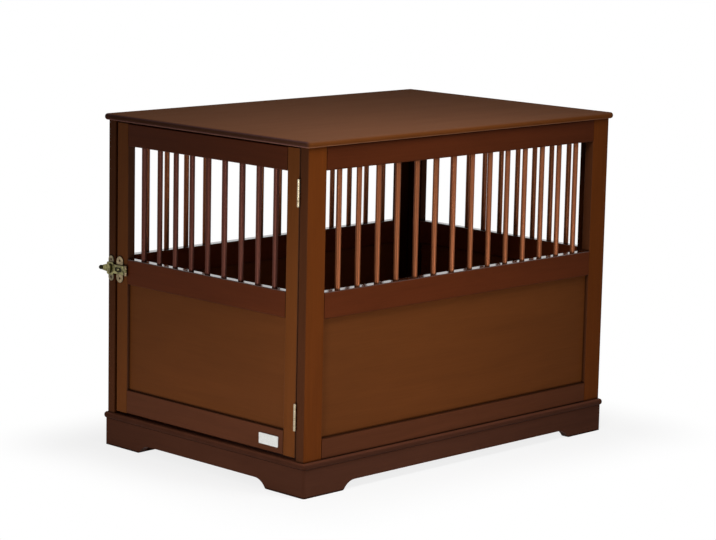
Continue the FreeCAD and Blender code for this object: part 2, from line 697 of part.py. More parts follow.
SCREW_IN_WOOD = "(size.small_screw_length - size.hinge_leaf_thickness)"
HINGE_RISES = {"upper": f"({DOOR_HEIGHT} - size.hinge_upper_drop)", "lower": "size.hinge_lower_rise"}
for height, rise in HINGE_RISES.items():
    bottom = f"({rise} - size.hinge_length / 2)"
    hinge = [
        hinge_leaf(f"{height}_hinge_post_leaf", "+", 0),
        hinge_leaf(f"{height}_hinge_door_leaf", "-", 1),
        capped_pin(f"{height}_hinge_pin", "size.hinge_pin_radius",
                   "size.hinge_length", "size.hinge_cap_radius", "size.hinge_cap_height"),
        hinge_screws(f"{height}_hinge_post_screws", "+"),
        hinge_screws(f"{height}_hinge_door_screws", "-"),
    ]
    for body in hinge:
        place(body, HINGE_X, HINGE_Y, f"{DOOR_BOTTOM} + {bottom}")
    screw_z = f"{bottom} + {HINGE_SCREW_Z}"
    at = (f"{HINGE_Y} + size.hinge_screw_offset", "size.side_thickness + size.overrun",
          f"size.door_bottom_gap + {screw_z}")
    small_screw_holes(right_front_stile, f"{height}_pilot", at, "-y",
                      SCREW_IN_WOOD, "size.hinge_screw_spacing")
    at = (f"{DOOR_WIDTH} / 2 + size.overrun", f"{HINGE_Y} - {DOOR_FACE} + size.hinge_screw_offset", screw_z)
    small_screw_holes(door_hinge_stile, f"{height}_pilot", at, "-x",
                      SCREW_IN_WOOD, "size.hinge_screw_spacing")

# Hasp on the latch side of the door. The strap swings on an upright pin at the far side of the door
# plate, crosses plate and post, and ends in a finger lip with a ball.
LATCH_RISE = f"({DOOR['panel_top']} + size.mid_rail_height / 2 + size.latch_above_mid_rail)"
LATCH_Z = f"({DOOR_BOTTOM} + {LATCH_RISE})"
PLATE_X = f"(-{DOOR_WIDTH} / 2 + size.hasp_plate_inset + size.hasp_plate_width / 2)"
AXIS_Y = "(-size.hasp_barrel_radius - size.hasp_face_clearance)"
POST_X = "(-(size.body_width - size.side_thickness) / 2)"
THIRD = "(size.hasp_barrel_length / 3)"
SEGMENT = f"({THIRD} - size.knuckle_gap)"
HASP_ROOM = "(size.hasp_barrel_radius + size.knuckle_clearance)"

hasp_plate = piece("hasp_plate")
obround(hasp_plate, "plate", "size.hasp_plate_width", "size.hasp_plate_height", "size.hasp_plate_thickness",
        ("0", "0", "0"))
block(hasp_plate, "tongue", ("size.hasp_reach", "size.hasp_plate_thickness", "size.hasp_barrel_length"),
      ("0", "-size.hasp_plate_thickness", "-size.hasp_barrel_length / 2"))
rod(hasp_plate, "strap_room", HASP_ROOM, THIRD, ("size.hasp_reach", AXIS_Y, f"-{THIRD} / 2"), cut=True)
for name, bottom in (("lower", "-size.hasp_barrel_length / 2"),
                     ("upper", f"{THIRD} / 2 + size.knuckle_gap / 2")):
    rod(hasp_plate, f"{name}_knuckle", "size.hasp_barrel_radius", f"{THIRD} - size.knuckle_gap / 2",
        ("size.hasp_reach", AXIS_Y, bottom))
rod(hasp_plate, "pin_bore", "size.hasp_pin_radius + size.running_play",
    "size.hasp_barrel_length + 2 * size.overrun",
    ("size.hasp_reach", AXIS_Y, "-size.hasp_barrel_length / 2 - size.overrun"), cut=True)
hole = countersunk_hole(hasp_plate, "screw", *SMALL_SCREW, "size.hasp_plate_thickness",
                        "size.hasp_plate_thickness + size.overrun",
                        ("0", "-size.hasp_plate_thickness", "-size.hasp_screw_spacing / 2"), "+y")
row(hasp_plate, "screw_holes", hole, "Z_Axis", "2", "size.hasp_screw_spacing")
place(hasp_plate, PLATE_X, DOOR_FACE, LATCH_Z)

hasp_screws = piece("hasp_screws")
screw = countersunk_screw(hasp_screws, "screw", *SMALL_SCREW, "size.hasp_plate_thickness",
                          "size.small_screw_length",
                          ("0", "-size.hasp_plate_thickness", "-size.hasp_screw_spacing / 2"), "+y")
row(hasp_screws, "screw_pair", screw, "Z_Axis", "2", "size.hasp_screw_spacing")
place(hasp_screws, PLATE_X, DOOR_FACE, LATCH_Z)
at = (PLATE_X, "-size.overrun", f"{LATCH_RISE} - size.hasp_screw_spacing / 2")
small_screw_holes(door_latch_stile, "hasp_pilot", at, "+y",
                  "(size.small_screw_length - size.hasp_plate_thickness)", "size.hasp_screw_spacing")

hasp_pin = capped_pin("hasp_pin", "size.hasp_pin_radius", "size.hasp_barrel_length",
                      "size.hasp_cap_radius", "size.hasp_cap_height")
place(hasp_pin, f"{PLATE_X} + size.hasp_reach", f"{DOOR_FACE} + {AXIS_Y}",
      f"{LATCH_Z} - size.hasp_barrel_length / 2")

# The strap is drawn from its pin, lying towards -X.
SLOT_X = f"({POST_X} - {PLATE_X} - size.hasp_reach)"
STRAP_BACK = "(size.strap_thickness - size.hasp_barrel_radius)"
HEAD_END = f"({SLOT_X} - size.strap_head_width / 2)"
DISH_X = "(-size.hasp_reach)"
DISH_FLOOR = "(size.strap_dish_depth - size.hasp_barrel_radius)"

hasp_strap = piece("hasp_strap")
neck = f"(-{HASP_ROOM} - {SLOT_X})"
block(hasp_strap, "neck", (neck, "size.strap_thickness", "size.strap_neck_height"),
      (SLOT_X, "-size.hasp_barrel_radius", "-size.strap_neck_height / 2"))
block(hasp_strap, "head", ("size.strap_head_width", "size.strap_thickness", "size.strap_head_height"),
      (HEAD_END, "-size.hasp_barrel_radius", "-size.strap_head_height / 2"))
shoulder_middle = (size_of("strap_head_height") + size_of("strap_neck_height")) / 4
ease(hasp_strap, "round_corners", "size.strap_corner_radius",
     lambda box: runs_along_y(box) and abs(box.Center.z) > shoulder_middle)
rod(hasp_strap, "knuckle", "size.hasp_barrel_radius", SEGMENT, ("0", "0", f"-{SEGMENT} / 2"))
block(hasp_strap, "root", (f"({HASP_ROOM} + size.strap_thickness)", "size.strap_thickness", SEGMENT),
      (f"-{HASP_ROOM} - size.strap_thickness", "-size.hasp_barrel_radius", f"-{SEGMENT} / 2"))
rod(hasp_strap, "pin_bore", "size.hasp_pin_radius + size.running_play", f"{SEGMENT} + 2 * size.overrun",
    ("0", "0", f"-{SEGMENT} / 2 - size.overrun"), cut=True)
obround(hasp_strap, "slot", "size.strap_slot_width", "size.strap_slot_height",
        "(size.strap_thickness + 2 * size.overrun)",
        (SLOT_X, f"{STRAP_BACK} + size.overrun", "0"), cut=True)
BEND_Y = "(size.strap_thickness / 2 - size.hasp_barrel_radius)"
rod(hasp_strap, "bend", "size.strap_thickness / 2", "size.lip_height",
    (HEAD_END, BEND_Y, "-size.lip_height / 2"))
lip_sizes = {"Ymin": "0", "Ymax": "size.lip_length"}
for low, high, span in (("Xmin", "Xmax", "size.strap_thickness"), ("X2min", "X2max", "size.strap_thickness"),
                        ("Zmin", "Zmax", "size.lip_height"), ("Z2min", "Z2max", "size.lip_tip_height")):
    lip_sizes[low] = f"-{span} / 2"
    lip_sizes[high] = f"{span} / 2"
lip = primitive(hasp_strap, "Wedge", "lip", lip_sizes, (HEAD_END, BEND_Y, "0"),
                FreeCAD.Rotation(FreeCAD.Vector(0, 0, 1), 90), False)
lip.setExpression("AttachmentOffset.Rotation.Angle", "90 + size.lip_angle")
ball(hasp_strap, "lip_ball", "size.lip_ball_radius",
     (f"{HEAD_END} - size.lip_length * cos(size.lip_angle)",
      f"{BEND_Y} - size.lip_length * sin(size.lip_angle)", "0"))
obround(hasp_strap, "dish", "size.strap_dish_height", "size.strap_dish_length",
        "(size.strap_dish_depth + size.overrun)", (DISH_X, DISH_FLOOR, "0"), along="x", cut=True)
cone(hasp_strap, "rivet", "size.strap_rivet_radius", "size.strap_rivet_radius * size.strap_rivet_top_share",
     "(size.strap_dish_depth + size.strap_rivet_height)", (DISH_X, DISH_FLOOR, "0"), "-y")
place(hasp_strap, f"{PLATE_X} + size.hasp_reach", f"{DOOR_FACE} + {AXIS_Y}", LATCH_Z)

# Staple on the left post. The knob turns in its plate, held by a collar that lies in a recess of the post
# behind the plate. Upright, its head passes the slot of the strap. Turned level, it locks the strap.
KNOB_HEAD_Y = f"({DOOR_FACE} - {FRONT} + {AXIS_Y} - size.hasp_barrel_radius - size.knob_head_clearance)"

staple_plate = piece("staple_plate")
obround(staple_plate, "plate", "size.staple_plate_width", "size.staple_plate_height",
        "size.staple_plate_thickness", ("0", "0", "0"))
rod(staple_plate, "knob_bore", "size.knob_neck_radius + size.running_play",
    "size.staple_plate_thickness + 2 * size.overrun", ("0", "size.overrun", "0"), "-y", cut=True)
staple_screw_at = ("0", "-size.staple_plate_thickness", "-size.staple_screw_spacing / 2")
hole = countersunk_hole(staple_plate, "screw", *SMALL_SCREW, "size.staple_plate_thickness",
                        "size.staple_plate_thickness + size.overrun", staple_screw_at, "+y")
row(staple_plate, "screw_holes", hole, "Z_Axis", "2", "size.staple_screw_spacing")
place(staple_plate, POST_X, FRONT, LATCH_Z)

staple_screws = piece("staple_screws")
screw = countersunk_screw(staple_screws, "screw", *SMALL_SCREW, "size.staple_plate_thickness",
                          "size.small_screw_length", staple_screw_at, "+y")
row(staple_screws, "screw_pair", screw, "Z_Axis", "2", "size.staple_screw_spacing")
place(staple_screws, POST_X, FRONT, LATCH_Z)
knob_at = ("size.body_length / 2 + size.overrun", "size.side_thickness / 2", f"{LATCH_Z} - {BASE_TOP}")
at = (*knob_at[:2], f"{knob_at[2]} - size.staple_screw_spacing / 2")
small_screw_holes(left_front_stile, "staple_pilot", at, "-x",
                  "(size.small_screw_length - size.staple_plate_thickness)", "size.staple_screw_spacing")
rod(left_front_stile, "collar_recess", "size.knob_collar_radius + size.knob_collar_play",
    "size.knob_collar_thickness + 2 * size.knob_collar_play + size.overrun", knob_at, "-x", cut=True)

turn_knob = piece("turn_knob")
rod(turn_knob, "collar", "size.knob_collar_radius", "size.knob_collar_thickness",
    ("0", "size.running_play", "0"), "+y")
rod(turn_knob, "neck", "size.knob_neck_radius", f"size.running_play - {KNOB_HEAD_Y}",
    ("0", "size.running_play", "0"), "-y")
obround(turn_knob, "head", "size.knob_head_width", "size.knob_head_height", "size.knob_head_thickness",
        ("0", KNOB_HEAD_Y, "0"))
place(turn_knob, POST_X, FRONT, LATCH_Z)

doc.recompute()
faults = [f"{thing.Label}: {', '.join(thing.State)}" for thing in doc.Objects
          if {"Invalid", "Error"} & set(thing.State)]
faults += [f"{node.Label}: no valid shape" for node in nodes
           if node.Shape.isNull() or not node.Shape.isValid()]
if faults:
    raise RuntimeError("; ".join(faults))

os.makedirs("parts", exist_ok=True)
for node in nodes:
    node.Shape.exportStep(f"parts/{node.Label}.step")
print(f"{len(nodes)} pieces written")
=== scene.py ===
import math

import bpy
import numpy as np
from mathutils import Matrix, Vector


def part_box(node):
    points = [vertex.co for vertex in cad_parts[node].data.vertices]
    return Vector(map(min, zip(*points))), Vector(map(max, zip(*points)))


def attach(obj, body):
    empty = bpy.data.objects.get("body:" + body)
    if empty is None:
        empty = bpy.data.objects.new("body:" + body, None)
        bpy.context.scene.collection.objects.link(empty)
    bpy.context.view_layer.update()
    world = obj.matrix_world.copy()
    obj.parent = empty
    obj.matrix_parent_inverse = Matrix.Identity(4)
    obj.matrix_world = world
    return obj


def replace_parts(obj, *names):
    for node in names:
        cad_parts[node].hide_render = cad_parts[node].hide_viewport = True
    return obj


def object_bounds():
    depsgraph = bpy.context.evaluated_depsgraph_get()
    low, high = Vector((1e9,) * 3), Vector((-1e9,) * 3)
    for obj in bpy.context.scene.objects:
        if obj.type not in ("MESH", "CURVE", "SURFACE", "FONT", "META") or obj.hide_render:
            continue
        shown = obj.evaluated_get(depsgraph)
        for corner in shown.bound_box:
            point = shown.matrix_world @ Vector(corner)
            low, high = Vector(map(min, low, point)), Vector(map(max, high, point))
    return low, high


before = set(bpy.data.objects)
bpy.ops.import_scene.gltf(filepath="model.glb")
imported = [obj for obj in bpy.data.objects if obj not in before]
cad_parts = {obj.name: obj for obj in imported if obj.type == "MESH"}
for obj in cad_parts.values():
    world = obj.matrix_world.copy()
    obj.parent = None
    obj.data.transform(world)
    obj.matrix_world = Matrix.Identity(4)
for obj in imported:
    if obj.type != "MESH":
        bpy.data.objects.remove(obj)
cad_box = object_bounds()

# Plinth: four mitred boards with bracket feet, and a block glued behind each foot of the front and back.
# Rubberwood under a dark walnut stain and a thin satin lacquer, sprayed on before the crate was assembled.
# It took more of the stain than the frames above it, so it reads darker and browner.
PLINTH_STAIN = (75, 43, 30)
PLINTH_ROUGHNESS, BLOCK_ROUGHNESS = 0.5, 0.6


def linear(colour):
    """An 8-bit screen colour as the linear RGBA that a socket holds: the sRGB curve undone per channel."""
    share = np.array(colour) / 255
    low, high = share / 12.92, ((share + 0.055) / 1.055) ** 2.4
    return (*np.where(share <= 0.04045, low, high), 1.0)


def add_node(tree, kind, inputs=(), **settings):
    """A node of that kind, with its settings, whose inputs take values or other nodes' outputs."""
    node = tree.nodes.new(kind)
    for name, value in settings.items():
        setattr(node, name, value)
    for name, value in dict(inputs).items():
        if isinstance(value, bpy.types.NodeSocket):
            tree.links.new(value, node.inputs[name])
        else:
            node.inputs[name].default_value = value
    return node


def finish_material(name):
    """An empty material with a Principled shader, and its node tree."""
    material = bpy.data.materials.new(name)
    material.use_nodes = True
    tree = material.node_tree
    tree.nodes.clear()
    shader = add_node(tree, "ShaderNodeBsdfPrincipled")
    output = add_node(tree, "ShaderNodeOutputMaterial")
    tree.links.new(shader.outputs["BSDF"], output.inputs["Surface"])
    return material, tree, shader


def ramp(tree, factor, stops):
    """A colour ramp over a factor, from (place, linear colour) stops."""
    node = add_node(tree, "ShaderNodeValToRGB", {"Fac": factor})
    elements = node.color_ramp.elements
    while len(elements) < len(stops):
        elements.new(1.0)
    for element, (place, colour) in zip(elements, stops):
        element.position = place
        element.color = colour
    return node.outputs["Color"]


def noise(tree, vector, scale, detail, roughness=0.5, distortion=0.0):
    """A noise texture's value, from 0 to 1, on those coordinates."""
    node = add_node(tree, "ShaderNodeTexNoise", {"Vector": vector, "Scale": scale, "Detail": detail,
                                                 "Roughness": roughness, "Distortion": distortion})
    return node.outputs["Fac"]


def spread(tree, value, low, high, start=0.0, end=1.0):
    """A value mapped from the span start to end onto the span low to high, and held there beyond it."""
    node = add_node(tree, "ShaderNodeMapRange", {"Value": value, "From Min": start, "From Max": end,
                                                 "To Min": low, "To Max": high})
    return node.outputs["Result"]


MIX_COLOUR, MIX_FACTOR, MIX_RESULT = 6, 7, 2


def tinted(tree, colour, factor):
    """A colour times a factor, grey or a colour itself. A mix node's colour sockets go by number."""
    node = add_node(tree, "ShaderNodeMix", {"Factor": 1.0, MIX_COLOUR: colour, MIX_FACTOR: factor},
                    data_type="RGBA", blend_type="MULTIPLY")
    return node.outputs[MIX_RESULT]


FACING_START, FACING_FULL = 0.35, 0.85


def looking(tree, direction, either_way=False):
    """1 on the faces that look along a direction of the crate, or along it either way, and 0 on the others:
    the cosine between the face's normal and the direction, spread from its start to its full value."""
    normal = add_node(tree, "ShaderNodeTexCoord").outputs["Normal"]
    share = add_node(tree, "ShaderNodeVectorMath", {0: normal, 1: direction},
                     operation="DOT_PRODUCT").outputs["Value"]
    if either_way:
        share = add_node(tree, "ShaderNodeMath", {0: share}, operation="ABSOLUTE").outputs[0]
    return spread(tree, share, 0.0, 1.0, FACING_START, FACING_FULL)


SKY_SAMPLES = 8


def hollows(tree, reach, depth, shade_tilt=0.0):
    """How open a place is, from 1 on a free face towards 0 in a hollow: the share of nearby sky that nothing
    within reach hides, to the power of depth. Tilting the sky lower makes a ledge below count for more.
    Times a colour it paints shade into hollows, joints and reveals on wood, and the patina of hollows on
    metal."""
    normal = add_node(tree, "ShaderNodeNewGeometry").outputs["Normal"]
    lower = add_node(tree, "ShaderNodeVectorMath", {0: normal, 1: (0, 0, -shade_tilt)}, operation="ADD")
    lower = add_node(tree, "ShaderNodeVectorMath", {0: lower.outputs[0]}, operation="NORMALIZE")
    sky = add_node(tree, "ShaderNodeAmbientOcclusion", {"Distance": reach, "Normal": lower.outputs[0]},
                   samples=SKY_SAMPLES)
    return add_node(tree, "ShaderNodeMath", {0: sky.outputs["AO"], 1: depth}, operation="POWER").outputs[0]


FIGURE = {"scale": 38.0, "detail": 5.0, "roughness": 0.55, "distortion": 0.6}
PORES = {"scale": 520.0, "detail": 3.0, "roughness": 0.6}
CLOUDS = {"scale": 4.5, "detail": 2.0}
FIGURE_STRETCH, PORE_STRETCH = 9.0, 45.0
FIGURE_LOW, FIGURE_MIDDLE, FIGURE_HIGH = 0.30, 0.52, 0.72
FIGURE_DARK, FIGURE_PALE = 0.34, 0.24
PORE_DARK, PORE_PALE = 0.5, 0.42
CLOUD_SWING = 0.16
PORE_DULLER, PORE_GLOSSIER = 0.10, 0.06
PORE_RELIEF, PORE_DEPTH = 0.12, 0.0002
PLAIN = (1.0, 1.0, 1.0, 1.0)
# Edge tones: cut edges take a darker stain, greyed by a painted sheen across X and Y, and deepened by
# painted shade on level faces.
GREYED_WITH_PAINTED_SHEEN, DARKENED_WITH_PAINTED_SHADE = (0.60, 0.78, 1.9, 1.0), (0.48, 0.48, 0.48, 1.0)
EDGE_TONES = {"X": GREYED_WITH_PAINTED_SHEEN, "Y": GREYED_WITH_PAINTED_SHEEN, "Z": DARKENED_WITH_PAINTED_SHADE}
# Inside tone: faces that look inside are painted lighter, painted light for the dim inside of the crate.
INSIDE_PAINTED_LIGHT = 1.8
# Painted shade in hollows, joints and reveals: how far it reaches and how steeply it deepens.
PAINTED_SHADE_REACH, PAINTED_SHADE_DEPTH = 0.004, 1.4
SATIN_SHEEN = 0.015
POOLED_ROUGHNESS, POOLED_IOR = 0.08, 1.8
DIRECTIONS = {"X": (1, 0, 0), "Y": (0, 1, 0), "Z": (0, 0, 1)}


def stained_wood(name, stain, along, roughness, specular=SATIN_SHEEN, contrast=0.3, edge=None, inside=None,
                 painted_inside_tone=INSIDE_PAINTED_LIGHT, sill=False, rim=None, shade_tilt=0.4, lustre=0.0):
    """Stained wood whose grain runs along an axis: broad figure and fine pores are noise drawn out along it,
    over cloudy patches where the stain took unevenly. Faces across the edge axis take a darker cut-edge
    stain, greyed by a painted sheen, or deepened by painted shade where they lie level. A board's rim has a
    stain of its own, and faces that look inside are times their own tone: painted light on the dim inside,
    painted shade in the stiles' gaps. Painted shade darkens the hollows, joints and reveals, deepest along
    lower edges when the sky is tilted lower. On a sill the lacquer pooled on the level face and dried
    glossy, and lustre is the coppery shine of stain that was mixed into the lacquer."""
    material, tree, shader = finish_material(name)
    place = add_node(tree, "ShaderNodeTexCoord").outputs["Object"]
    drawn_out = []
    for stretch in (FIGURE_STRETCH, PORE_STRETCH):
        scale = [1.0, 1.0, 1.0]
        scale["XYZ".index(along)] = 1.0 / stretch
        mapping = add_node(tree, "ShaderNodeMapping", {"Vector": place, "Scale": scale})
        drawn_out.append(mapping.outputs["Vector"])
    figure = noise(tree, drawn_out[0], **FIGURE)
    pores = noise(tree, drawn_out[1], **PORES)
    clouds = noise(tree, place, **CLOUDS)
    colour = np.array(linear(stain)[:3])
    dark = (*(colour * (1 - FIGURE_DARK * contrast)), 1.0)
    pale = (*(colour * (1 + FIGURE_PALE * contrast)), 1.0)
    grain = ramp(tree, figure, [(FIGURE_LOW, dark), (FIGURE_MIDDLE, (*colour, 1.0)), (FIGURE_HIGH, pale)])
    grain = tinted(tree, grain, spread(tree, pores, 1 - PORE_DARK * contrast, 1 + PORE_PALE * contrast))
    grain = tinted(tree, grain, spread(tree, clouds, 1 - CLOUD_SWING * contrast, 1 + CLOUD_SWING * contrast))
    # Painted sheen and painted shade on the cut edges, over their darker stain.
    if edge:
        across = looking(tree, DIRECTIONS[edge], either_way=True)
        grain = tinted(tree, grain, ramp(tree, across, [(0.0, PLAIN), (1.0, EDGE_TONES[edge])]))
    if rim:
        level = looking(tree, DIRECTIONS["Z"], either_way=True)
        share = tuple(np.array(linear(rim)) / np.array(linear(stain)))
        grain = tinted(tree, grain, ramp(tree, level, [(0.0, share), (1.0, PLAIN)]))
    # Faces that look inside take a painted tone: painted light on the dim inside, painted shade in the
    # stiles' gaps.
    if inside:
        grain = tinted(tree, grain, spread(tree, looking(tree, inside), 1.0, painted_inside_tone))
    # Painted shade in the hollows, joints and reveals, deeper along lower edges with the sky tilted lower.
    grain = tinted(tree, grain, hollows(tree, PAINTED_SHADE_REACH, PAINTED_SHADE_DEPTH, shade_tilt))
    tree.links.new(grain, shader.inputs["Base Color"])
    tree.links.new(spread(tree, pores, roughness + PORE_DULLER, roughness - PORE_GLOSSIER),
                   shader.inputs["Roughness"])
    shader.inputs["Specular IOR Level"].default_value = specular
    shader.inputs["Metallic"].default_value = lustre
    if lustre:
        shader.inputs["Specular Tint"].default_value = linear(stain)
    if sill:
        tree.links.new(looking(tree, DIRECTIONS["Z"]), shader.inputs["Coat Weight"])
        shader.inputs["Coat Roughness"].default_value = POOLED_ROUGHNESS
        shader.inputs["Coat IOR"].default_value = POOLED_IOR
    bump = add_node(tree, "ShaderNodeBump", {"Height": pores, "Strength": PORE_RELIEF,
                                             "Distance": PORE_DEPTH})
    tree.links.new(bump.outputs["Normal"], shader.inputs["Normal"])
    return material


def dress(material, *names):
    """The material put in every slot of those CAD nodes."""
    for name in names:
        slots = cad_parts[name].data.materials
        slots.clear()
        slots.append(material)


across_walnut = stained_wood("plinth_walnut_across", PLINTH_STAIN, "X", PLINTH_ROUGHNESS)
lengthwise_walnut = stained_wood("plinth_walnut_lengthwise", PLINTH_STAIN, "Y", PLINTH_ROUGHNESS)
dress(across_walnut, "plinth_front", "plinth_back")
dress(lengthwise_walnut, "plinth_left", "plinth_right")
dress(stained_wood("plinth_block_walnut", PLINTH_STAIN, "Z", BLOCK_ROUGHNESS), "plinth_corner_blocks")

# Base board: the crate's floor, one bullnosed board that stands a little proud of the plinth under it.
# Veneered board stained as dark as the plinth, screwed up into the frames from below.
BASE_STAIN = (68, 38, 26)
BASE_ROUGHNESS = 0.45
# The board's upward faces, the crate's floor, are painted lighter: painted light for the dim inside.
dress(stained_wood("base_board_walnut", BASE_STAIN, "Y", BASE_ROUGHNESS, inside=(0, 0, 1)), "base_board")

# Frames of the sides, the back and the door: stiles and rails dowelled together round a thin panel and a row
# of round bars. Rubberwood stained a red walnut, which the stiles and mid rails took lighter than the top
# rails, and the bottom rails browner. The bars were rolled in gloss lacquer. The door's stiles have their
# own stain and the door a glossier lacquer, and its bars are a darker copy of the sides' bars: painted
# shade.
# Faces that look inside are painted lighter, painted light for the dim inside, and the stiles' inner faces
# are painted darker, painted shade in the gaps beside the door.
STILE_STAIN, DOOR_STILE_STAIN = (99, 49, 15), (103, 56, 22)
STILE_ROUGHNESS = 0.42
# Stile faces that look inside are painted darker: painted shade in the gaps beside the door.
STILE_INSIDE_PAINTED_SHADE = 0.35
TOP_RAIL_STAIN = (79, 36, 16)
MID_RAIL_STAIN = (87, 40, 18)
RAIL_ROUGHNESS = 0.38
BOTTOM_RAIL_STAIN = (86, 47, 28)
BOTTOM_RAIL_ROUGHNESS = 0.4
PANEL_STAIN = (97, 53, 23)
# Panels take the painted shade with the sky tilted lower, so it is deepest along their bottom edges.
PANEL_ROUGHNESS, PANEL_CONTRAST, PANEL_SHADE_TILT = 0.45, 0.22, 1.2
# The door's bars are a darker copy of the sides' bars: painted shade on the door side.
BAR_STAIN, DOOR_BAR_SHADED_STAIN = (134, 80, 52), (94, 56, 47)
BAR_ROUGHNESS, BAR_SHEEN, BAR_CONTRAST, BAR_LUSTRE = 0.26, 0.02, 0.5, 0.4
DOOR_SHEEN = 0.035
FRAMES = {"right": ("Y", (-1, 0, 0), ("front", "back")), "left": ("Y", (1, 0, 0), ("back", "front")),
          "back": ("X", (0, -1, 0), ("right", "left")), "door": ("X", (0, 1, 0), ("latch", "hinge"))}
for prefix, (axis, inwards, ends) in FRAMES.items():
    # The door's frame takes its own stile stain and sheen, and a darker, painted-shade copy of the bar
    # stain.
    stile_stain, bar_stain_and_shade, sheen = STILE_STAIN, BAR_STAIN, SATIN_SHEEN
    if prefix == "door":
        stile_stain, bar_stain_and_shade, sheen = DOOR_STILE_STAIN, DOOR_BAR_SHADED_STAIN, DOOR_SHEEN
    stile = stained_wood(f"{prefix}_stile_walnut", stile_stain, "Z", STILE_ROUGHNESS, sheen, edge=axis,
                         inside=inwards, painted_inside_tone=STILE_INSIDE_PAINTED_SHADE)
    top_rail = stained_wood(f"{prefix}_rail_walnut", TOP_RAIL_STAIN, axis, RAIL_ROUGHNESS, sheen,
                            inside=inwards)
    mid_rail = stained_wood(f"{prefix}_sill_walnut", MID_RAIL_STAIN, axis, RAIL_ROUGHNESS, sheen, edge="Z",
                            inside=inwards, sill=True)
    bottom_rail = stained_wood(f"{prefix}_low_rail_walnut", BOTTOM_RAIL_STAIN, axis, BOTTOM_RAIL_ROUGHNESS,
                               sheen, edge="Z", inside=inwards)
    panel = stained_wood(f"{prefix}_panel_walnut", PANEL_STAIN, axis, PANEL_ROUGHNESS, sheen, PANEL_CONTRAST,
                         inside=inwards, shade_tilt=PANEL_SHADE_TILT)
    bars = stained_wood(f"{prefix}_bar_walnut", bar_stain_and_shade, "Z", BAR_ROUGHNESS, BAR_SHEEN, BAR_CONTRAST,
                        lustre=BAR_LUSTRE)
    dress(stile, *(f"{prefix}_{end}_stile" for end in ends))
    dress(top_rail, f"{prefix}_top_rail")
    dress(mid_rail, f"{prefix}_mid_rail")
    dress(bottom_rail, f"{prefix}_bottom_rail")
    dress(panel, f"{prefix}_panel")
    dress(bars, f"{prefix}_dowels")

# Door stop and pins: a strip that the top of the door closes against, and pins that hold the top board to
# the frames. Neither shows from outside, so the strip has only a wash coat of stain and the beech is bare.
WASH_STAIN = (46, 23, 12)
PIN_BEECH = (176, 132, 86)
BARE_ROUGHNESS = 0.6
dress(stained_wood("wash_coat_walnut", WASH_STAIN, "X", BARE_ROUGHNESS), "door_stop_rail")
dress(stained_wood("pin_beech", PIN_BEECH, "Z", BARE_ROUGHNESS), "top_pins")

# Table top: one bullnosed board that hangs over the frames a little on every side, held by blind pins.
# Veneered board with the grain along the crate, in a duller lacquer than the rest. Its round rim took the
# stain redder than the face, and the end grain took it greyer under a painted sheen. Its underside is
# painted
# lighter: painted light under the overhang.
TOP_STAIN = (107, 70, 49)
TOP_RIM_STAIN = (104, 58, 26)
TOP_ROUGHNESS, TOP_SHEEN, TOP_CONTRAST = 0.55, 0.0004, 0.2
dress(stained_wood("table_top_walnut", TOP_STAIN, "Y", TOP_ROUGHNESS, TOP_SHEEN, TOP_CONTRAST, edge="Y",
                   inside=(0, 0, -1), rim=TOP_RIM_STAIN), "table_top")

# Hinges: two brass butt hinges, their knuckles turning on a capped pin, leaves let into door and post.
# Brushed brass under clear lacquer, so the barrels shine almost cream.
HINGE_BRASS = (182, 167, 140)
HINGE_TARNISH = (146, 129, 98)
HINGE_ROUGHNESS, HINGE_DULLNESS, HINGE_REACH = 0.18, 0.15, 0.001
BRUSH = {"scale": 2600.0, "detail": 2.0}
BRUSH_SQUEEZE = (1.0, 1.0, 0.03)
BRUSH_DARK, BRUSH_BRIGHT = 0.86, 1.08
BRUSH_RELIEF, BRUSH_DEPTH = 0.15, 0.00005
TARNISH = {"scale": 160.0, "detail": 4.0, "roughness": 0.6}
TARNISH_PLACE, TARNISH_DULLER = 0.30, 0.18
RUBBED_DEPTH = 1.8


def brushed_metal(name, metal, tarnish, roughness, dullness, reach, patina=None):
    """A metal with hair-fine upright brush marks, cloudy tarnish between them, wider with more dullness, and
    hollows within reach that stayed dark when the high places were rubbed bright. A patina gives a factor
    for each place of the piece."""
    material, tree, shader = finish_material(name)
    place = add_node(tree, "ShaderNodeTexCoord").outputs["Object"]
    upright = add_node(tree, "ShaderNodeMapping", {"Vector": place, "Scale": BRUSH_SQUEEZE})
    brush = noise(tree, upright.outputs["Vector"], **BRUSH)
    clouds = noise(tree, place, **TARNISH)
    stops = [(TARNISH_PLACE, linear(tarnish)), (TARNISH_PLACE + dullness, linear(metal))]
    colour = tinted(tree, ramp(tree, clouds, stops), spread(tree, brush, BRUSH_DARK, BRUSH_BRIGHT))
    colour = tinted(tree, colour, hollows(tree, reach, RUBBED_DEPTH))
    if patina:
        colour = tinted(tree, colour, patina(tree, place))
    tree.links.new(colour, shader.inputs["Base Color"])
    shader.inputs["Metallic"].default_value = 1.0
    tree.links.new(spread(tree, clouds, roughness + TARNISH_DULLER, roughness), shader.inputs["Roughness"])
    bump = add_node(tree, "ShaderNodeBump", {"Height": brush, "Strength": BRUSH_RELIEF,
                                             "Distance": BRUSH_DEPTH})
    tree.links.new(bump.outputs["Normal"], shader.inputs["Normal"])
    return material


hinge_brass = brushed_metal("hinge_brass", HINGE_BRASS, HINGE_TARNISH, HINGE_ROUGHNESS, HINGE_DULLNESS,
                            HINGE_REACH)
for height in ("upper", "lower"):
    dress(hinge_brass, *(f"{height}_hinge_{piece}" for piece in ("post_leaf", "door_leaf", "pin")))

